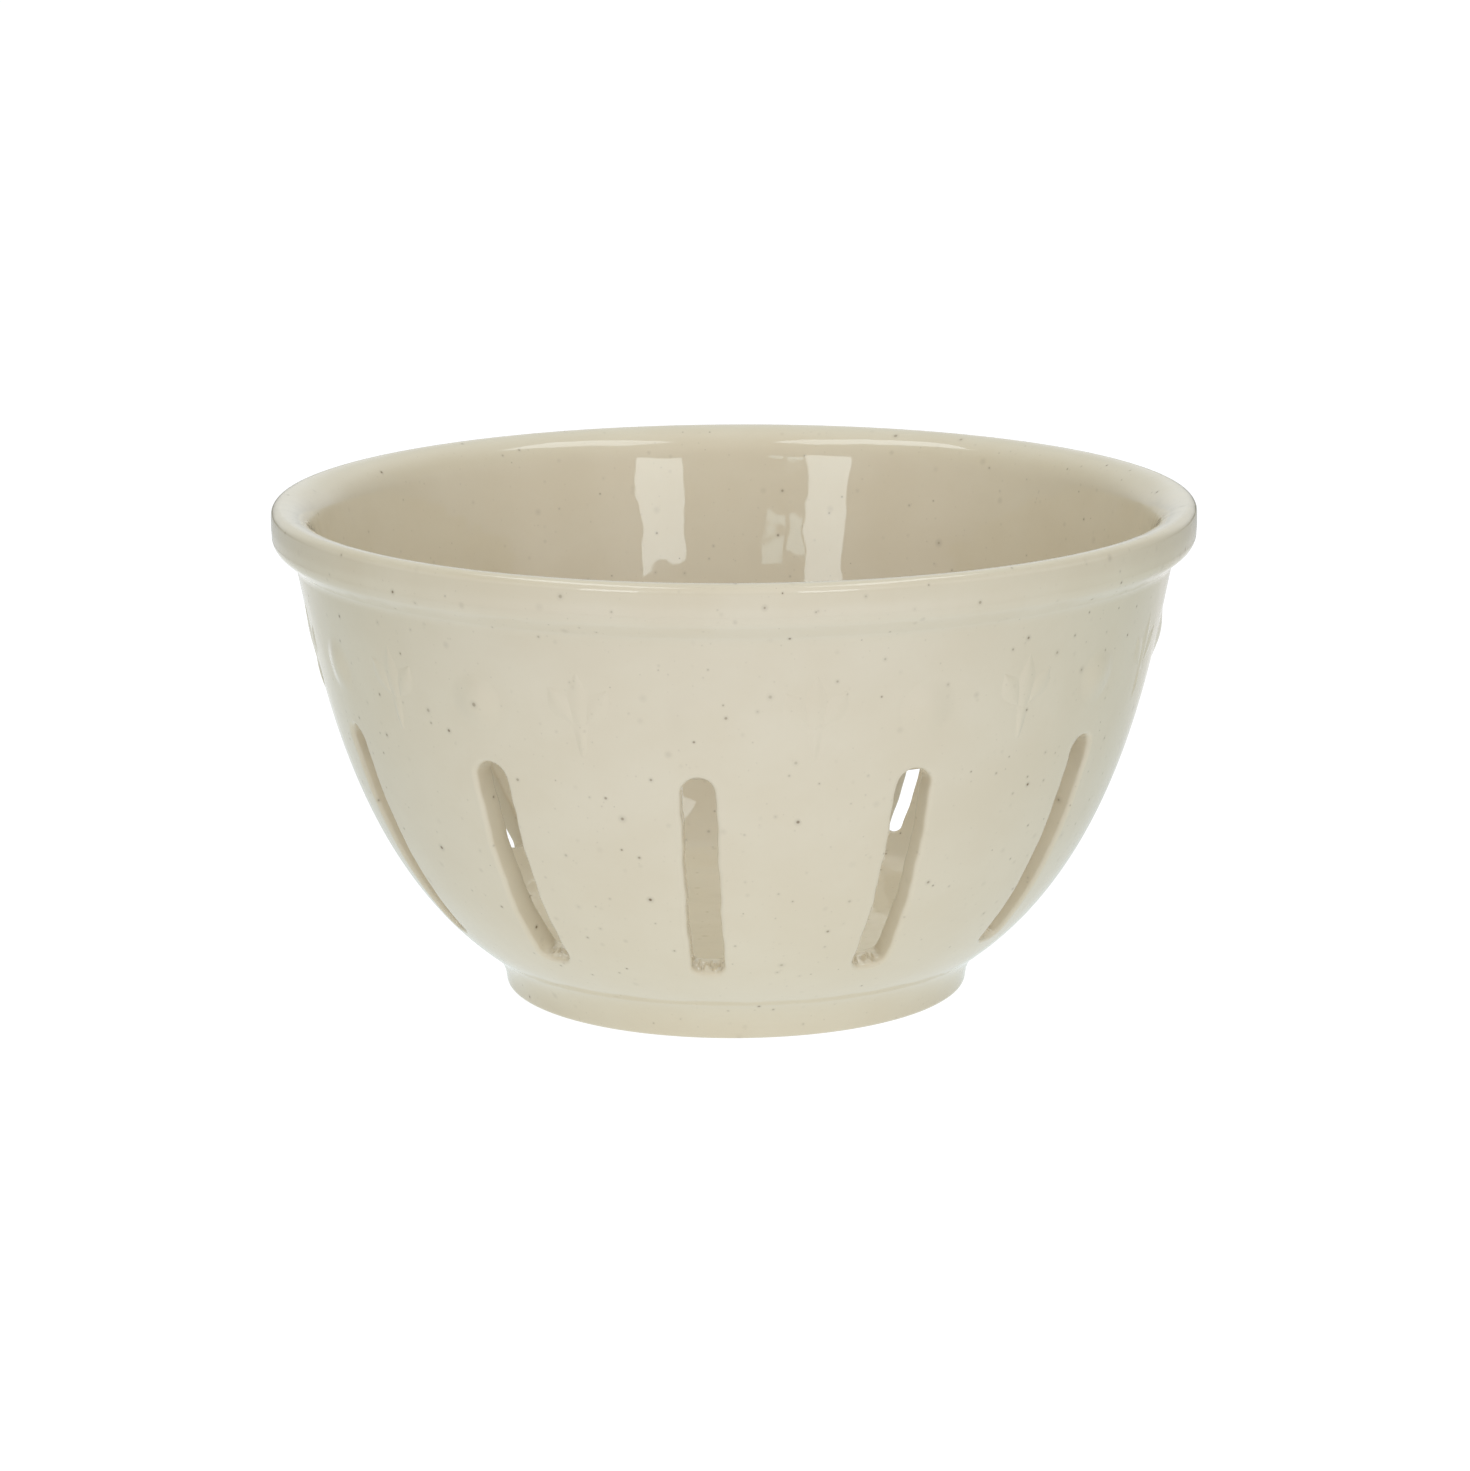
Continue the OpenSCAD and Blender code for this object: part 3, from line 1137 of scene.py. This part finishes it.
@dataclass
class LeafSprigs(Relief):
    """Leaf sprigs, one in the middle of each panel between two slots."""

    node: str = "leaf_sprig"
    first: float = 0.5
    lift: float = 0.22
    back: float = 0.25
    leaf_l: float = 8.8
    side_leaf_l: float = 7.4
    leaf_w: float = 4.4
    lean: float = 33.0
    stem_l: float = 6.4
    stem_w: float = 3.2
    stem_tip_w: float = 0.9
    length_steps: int = 18
    cross_steps: int = 14
    leaf_power: float = 1.2
    stem_fullness: float = 12.0

    def blade(
        self,
        shell: Shell,
        middle: float,
        foot: tuple[float, float],
        lean: float,
        length: float,
        sides: np.ndarray,
    ) -> None:
        """Adds one closed blade, a leaf or the stem.

        At share u of its length and v across it, from -1 to 1, it rises by (1 - v^2)^2 4u(1 - u).

        Args:
            shell: Shell that gets the sheets.
            middle: Angle of the sprig round the axis.
            foot: Distance across and height of the blade's lower end.
            lean: Lean of the blade in degrees, to the left above 0.
            length: Length of the blade.
            sides: Half of its width at even shares of its length.
        """
        u = np.linspace(0, 1, len(sides))[:, None]
        v = np.sin(np.linspace(-math.pi / 2, math.pi / 2, self.cross_steps + 1))[None, :]
        aim, aside = math.radians(lean), sides[:, None] * v
        across = foot[0] - math.sin(aim) * length * u + math.cos(aim) * aside
        height = foot[1] + math.cos(aim) * length * u + math.sin(aim) * aside
        self.swelling(shell, middle, across, height, (1 - v**2) ** 2 * np.clip(4 * u * (1 - u), 0, 1))

    def copy(self, shell: Shell, middle: float) -> None:
        """Adds one sprig: an upright leaf, a leaf on each side of it, and the stem.

        At share u of its length a leaf is as wide as sin(pi u) to a power, and the stem tapers
        evenly with round ends.

        Args:
            shell: Shell that gets the sheets.
            middle: Angle of the sprig round the axis.
        """
        fork = self.band_z - self.stem_w / 2
        crotch = fork - self.leaf_w / 2
        u = np.linspace(0, 1, self.length_steps + 1)
        leaf = self.leaf_w / 2 * np.sin(math.pi * u) ** self.leaf_power
        taper = np.interp(u, [0, 1], [self.stem_tip_w / 2, self.stem_w / 2])
        stem = taper * np.sqrt(np.clip(self.stem_fullness * u * (1 - u), 0, 1))
        self.blade(shell, middle, (0.0, crotch), 0.0, self.leaf_l + self.leaf_w / 2, leaf)
        for lean in (-self.lean, self.lean):
            aim = math.radians(lean)
            foot = (-math.sin(aim) * self.leaf_w / 2, crotch + math.cos(aim) * self.leaf_w / 2)
            self.blade(shell, middle, foot, lean, self.side_leaf_l, leaf)
        self.blade(shell, middle, (0.0, fork - self.stem_l), 0.0, self.stem_l, stem)


@dataclass
class BerryBosses(Relief):
    """Small round domes, one over each slot."""

    node: str = "berry_boss"
    lift: float = 0.62
    back: float = 0.3
    radius: float = 5.2
    rings: int = 14
    spokes: int = 48

    def copy(self, shell: Shell, middle: float) -> None:
        """Adds one dome.

        It rises by (1 - v^2)^2 at share v of its radius, so its border runs out softly.

        Args:
            shell: Shell that gets the sheets.
            middle: Angle of the dome round the axis.
        """
        v = np.sin(np.linspace(0, math.pi / 2, self.rings + 1))[:, None]
        turn = np.linspace(0, math.tau, self.spokes + 1)[None, :]
        across, height = self.radius * v * np.cos(turn), self.band_z + self.radius * v * np.sin(turn)
        self.swelling(shell, middle, across, height, (1 - v**2) ** 2 + 0 * turn)


# Studio


@dataclass(frozen=True)
class Softbox:
    """A lit panel that faces the bowl, placed by its directions as seen from the bowl."""

    name: str
    azimuths: tuple[float, float]
    elevations: tuple[float, float]
    radiance: float
    tint: Color
    distance: float = 2.0
    length: float | None = None

    def build(self, target: Vector) -> bpy.types.Object:
        """Hangs the panel.

        Its width and height at distance d are 2 d tan(half angle), unless its length is given,
        and a panel's radiance is its power over pi and its area.

        Args:
            target: Point that the directions are seen from.

        Returns:
            The light.
        """
        azimuth, elevation = (sum(pair) / 2 for pair in (self.azimuths, self.elevations))
        halves = [math.radians(abs(pair[1] - pair[0]) / 2) for pair in (self.azimuths, self.elevations)]
        width, height = (2 * self.distance * math.tan(half) for half in halves)
        width = self.length or width * math.cos(math.radians(elevation))
        data = bpy.data.lights.new(self.name, "AREA")
        data.shape, data.size, data.size_y = "RECTANGLE", width, height
        data.energy = self.radiance * math.pi * width * height
        data.color = self.tint
        out = toward(azimuth, elevation)
        light = bpy.data.objects.new(self.name, data)
        light.location = target + out * self.distance
        light.rotation_euler = out.to_track_quat("Z", "Y").to_euler()
        bpy.context.scene.collection.objects.link(light)
        return light


@dataclass(frozen=True)
class LightRing:
    """Soft lights at even azimuths round the bowl, anticlockwise from above, from the first on."""

    first: float
    lights: tuple[Color, ...]

    def spread(self) -> list[tuple[float, Color]]:
        """Returns the azimuth and colour of each light that is lit."""
        step = 360 / len(self.lights)
        return [(self.first + place * step, light) for place, light in enumerate(self.lights) if any(light)]


@dataclass(frozen=True)
class GlowRing(LightRing):
    """A ring of soft patches of light in the surroundings, as seen from the bowl.

    In a direction at angle a from its middle a patch shines with light times cos(a)^tightness.
    """

    elevation: float
    tightness: float

    def shine(self, recipe: Recipe, direction: Wire) -> list[Wire]:
        """Finds the light that comes from a direction.

        Args:
            recipe: The recipe that gets the nodes.
            direction: The direction, of length one.

        Returns:
            The light of each patch, as vectors.
        """
        found = []
        for azimuth, light in self.spread():
            facing = recipe.vector("DOT_PRODUCT", direction, toward(azimuth, self.elevation))["Value"]
            found.append(recipe.scaled(light, facing.highest(0.0) ** self.tightness))
        return found


@dataclass(frozen=True)
class PoolRing(LightRing):
    """A ring of soft pools of light on the floor, at one reach from the bowl's middle, in metres.

    At distance d from its middle a pool shines with light times e^-(d / radius)^2.
    """

    reach: float
    radius: float

    def shine(self, recipe: Recipe, spot: Wire) -> list[Wire]:
        """Finds the light at a spot of the floor.

        Args:
            recipe: The recipe that gets the nodes.
            spot: The spot, in metres.

        Returns:
            The light of each pool, as vectors.
        """
        found = []
        for azimuth, light in self.spread():
            distance = recipe.vector("DISTANCE", spot, toward(azimuth, 0.0) * self.reach)["Value"]
            found.append(recipe.scaled(light, math.e ** ((distance * (1 / self.radius)) ** 2.0 * -1.0)))
        return found


# The colours of the pools and glows weren't chosen by hand. They are rounded results of a
# least-squares fit of the bowl's shading to the photograph, which a scratch program made.
POOLS = (
    PoolRing(CAMERA_AZIMUTH, ((0.505, 0.54, 0.53),), reach=0.0, radius=0.13),
    PoolRing(
        CAMERA_AZIMUTH + 30,
        (
            (0.86, 0.93, 1.07),
            (0.41, 0.50, 0.44),
            (0.59, 0.57, 0.55),
            (0.67, 0.68, 0.67),
            (0.48, 0.57, 0.53),
            (0.83, 0.90, 1.04),
        ),
        reach=0.28,
        radius=0.17,
    ),
    PoolRing(
        CAMERA_AZIMUTH,
        (
            (0.63, 0.65, 0.73),
            (0.38, 0.43, 0.46),
            (0.05, 0.09, 0.10),
            (0.30, 0.30, 0.30),
            (0.51, 0.52, 0.51),
            (0.33, 0.34, 0.35),
            DARK,
            (0.32, 0.35, 0.40),
        ),
        reach=0.75,
        radius=0.38,
    ),
)
GLOWS = (
    GlowRing(
        CAMERA_AZIMUTH,
        (
            (0.81, 0.83, 0.84),
            (1.15, 1.16, 1.21),
            (1.01, 1.00, 1.03),
            (0.82, 0.86, 0.89),
            (0.27, 0.30, 0.32),
            (0.66, 0.69, 0.72),
            (0.74, 0.77, 0.79),
            (0.69, 0.72, 0.73),
            (0.28, 0.30, 0.31),
            (0.61, 0.66, 0.66),
            (0.91, 0.91, 0.94),
            (0.97, 0.99, 1.05),
        ),
        elevation=10.0,
        tightness=24.0,
    ),
    GlowRing(
        CAMERA_AZIMUTH + 22.5,
        (
            (0.75, 0.74, 0.77),
            (0.07, 0.13, 0.15),
            (0.00, 0.04, 0.07),
            (0.69, 0.74, 0.76),
            (0.54, 0.59, 0.60),
            (0.12, 0.17, 0.16),
            DARK,
            (0.50, 0.49, 0.51),
        ),
        elevation=38.0,
        tightness=12.0,
    ),
    GlowRing(
        CAMERA_AZIMUTH + 45,
        ((0.32, 0.32, 0.33), (0.26, 0.31, 0.34), (0.37, 0.40, 0.42), (0.15, 0.15, 0.14)),
        elevation=68.0,
        tightness=10.0,
    ),
    GlowRing(CAMERA_AZIMUTH, ((0.36, 0.37, 0.39),), elevation=90.0, tightness=10.0),
)
PANEL_TINT: Color = (0.90, 1.0, 1.02)
CARD_TINT: Color = (0.80, 1.0, 1.02)
STRIP_TINT: Color = (0.92, 1.0, 1.04)
PANELS = (
    Softbox("panel_right", (20.0, 33.7), (3.0, 15.2), 4.25, PANEL_TINT),
    Softbox("panel_left", (-30.0, -16.9), (3.0, 17.6), 4.25, PANEL_TINT),
    Softbox("card_near", (-10.25, -4.7), (13.8, 15.6), 2.4, CARD_TINT),
    Softbox("card_far", (-16.3, -11.4), (13.3, 15.1), 2.6, CARD_TINT),
    Softbox("strip_over_right", (81.7, 81.7), (61.2, 73.8), 3.3, STRIP_TINT, length=1.34),
    Softbox("strip_over_left", (-65.4, -65.4), (61.2, 73.8), 3.6, STRIP_TINT, length=1.6),
)


@dataclass
class Studio:
    """Soft surroundings, a pale floor, lit panels and the camera."""

    target: Triple = (0.0, 0.0, 0.043389)
    distance: float = 0.8415
    azimuth: float = CAMERA_AZIMUTH
    elevation: float = 12.88
    roll: float = 0.26
    lens: float = 117.6
    sensor: float = 36.0
    floor_half: float = 3.0
    paper: tuple[Color, Color] = ((0.095,) * 3, (0.105,) * 3)
    paper_clouds: Noise = Noise((3.0,) * 3, 2.0)
    paper_edges: tuple[float, float] = (0.3, 0.7)
    pools: tuple[PoolRing, ...] = POOLS
    glows: tuple[GlowRing, ...] = GLOWS
    panels: tuple[Softbox, ...] = PANELS

    def build(self) -> None:
        """Sets up the world, the floor, the panels and the camera."""
        scene = bpy.context.scene
        scene.view_settings.view_transform = "Standard"
        scene.world = self.room()
        aim = Vector(self.target)
        lights = [panel.build(aim) for panel in self.panels]
        self.floor()
        scene.camera = self.camera(aim)

    def room(self) -> bpy.types.World:
        """Lights the surroundings with the glows, which stay plain white to the eye.

        Returns:
            The world.
        """
        recipe = Recipe("white_room", bpy.data.worlds.new("white_room"))
        direction = recipe.node("ShaderNodeTexCoord", {}, {})["Generated"]
        glow = recipe.total([light for ring in self.glows for light in ring.shine(recipe, direction)])
        sockets = {"Color": recipe.white_to_camera(glow), "Strength": 1.0}
        background = recipe.node("ShaderNodeBackground", {}, sockets)["Background"]
        recipe.node("ShaderNodeOutputWorld", {}, {"Surface": background})
        return recipe.owner

    def floor(self) -> bpy.types.Object:
        """Lays a wide pale floor, plain white to the eye, that lights the bowl from below.

        Returns:
            The floor.
        """
        recipe = Recipe("floor_paper")
        colour = recipe.mixed(recipe.noise(self.paper_clouds).step(*self.paper_edges), *self.paper)
        spot = recipe.spot()
        glow = recipe.total([light for ring in self.pools for light in ring.shine(recipe, spot)])
        sockets = {"Base Color": colour, "Roughness": 0.9, "Specular IOR Level": 0.0}
        sockets |= {"Emission Color": recipe.white_to_camera(glow), "Emission Strength": 1.0}
        shader = recipe.node("ShaderNodeBsdfPrincipled", {}, sockets)
        recipe.node("ShaderNodeOutputMaterial", {}, {"Surface": shader["BSDF"]})
        half = self.floor_half
        corners = [(-half, -half, 0), (half, -half, 0), (half, half, 0), (-half, half, 0)]
        mesh = bpy.data.meshes.new("floor")
        mesh.from_pydata(corners, [], [(0, 1, 2, 3)])
        mesh.materials.append(recipe.owner)
        made = bpy.data.objects.new("floor", mesh)
        bpy.context.scene.collection.objects.link(made)
        return made

    def camera(self, aim: Vector) -> bpy.types.Object:
        """Returns the camera at the photograph's viewing angle.

        Args:
            aim: Point at the middle of the frame.

        Returns:
            The camera.
        """
        out = toward(self.azimuth, self.elevation)
        data = bpy.data.cameras.new("camera")
        data.lens, data.sensor_width = self.lens, self.sensor
        made = bpy.data.objects.new("camera", data)
        made.location = aim + out * self.distance
        turn = out.to_track_quat("Z", "Y") @ Quaternion((0, 0, 1), -math.radians(self.roll))
        made.rotation_euler = turn.to_euler()
        bpy.context.scene.collection.objects.link(made)
        return made


def main() -> None:
    """Builds the bowl, piece by piece, and the studio round it."""
    logging.basicConfig(level=logging.INFO, format="%(message)s")
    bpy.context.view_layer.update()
    curve = WallCurve()
    glaze = CreamGlaze()
    members = (
        FootRing(curve, CreamGlaze(Coat.WIPED_FOOT)).build(),
        Pan(curve, glaze).build(),
        SlottedWall(curve, glaze).build(),
        RolledRim(curve, glaze).build(),
        *LeafSprigs(curve, CreamGlaze(Coat.OVER_RELIEF)).build(),
        *BerryBosses(curve, CreamGlaze(Coat.OVER_RELIEF)).build(),
    )
    for piece in members:
        log.info("%s: %d faces", piece.name, len(piece.data.polygons))
    Studio().build()


if __name__ == "__main__":
    main()
